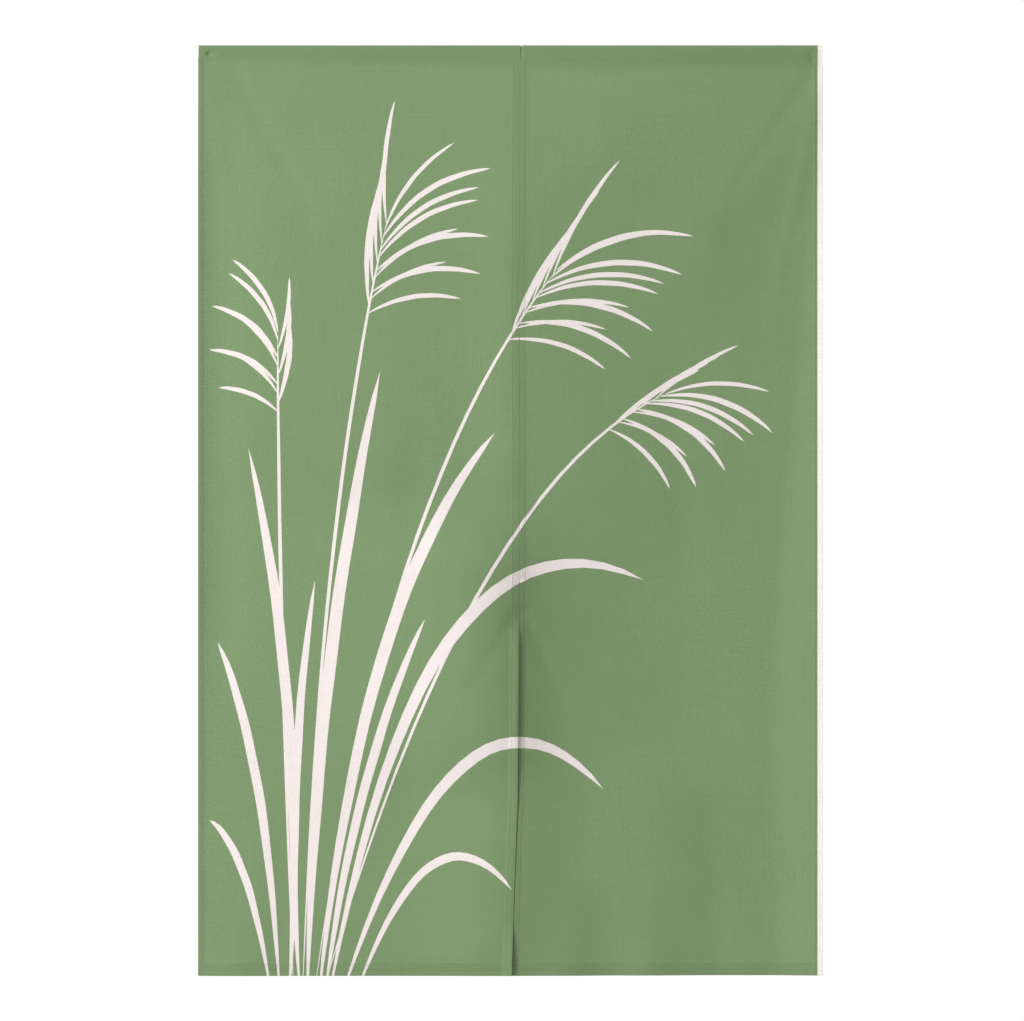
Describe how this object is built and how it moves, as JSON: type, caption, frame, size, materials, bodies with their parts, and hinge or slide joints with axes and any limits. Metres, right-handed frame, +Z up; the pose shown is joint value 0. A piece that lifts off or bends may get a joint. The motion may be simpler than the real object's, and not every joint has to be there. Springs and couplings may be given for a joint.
{
  "type": "noren curtain",
  "caption": "Split door curtain of sage green cloth with a pale plant print, hung by a rod pocket along its top edge, its panels sewn together above an open slit.",
  "frame": {"origin": "middle of the top edge, where the rod pocket's crown lies", "axes": "+Z up, the cloth hangs down to -Z; the front faces -Y; +X to the viewer's right"},
  "size_m": [0.805, 0.0448, 1.2],
  "materials": {
    "printed_cloth": "plain-woven cloth printed sage green with a pinkish white motif, matt"
  },
  "bodies": {
    "root": {"panel_left": "printed_cloth", "panel_right": "printed_cloth", "heading_left": "printed_cloth", "heading_right": "printed_cloth"}
  },
  "joints": []
}
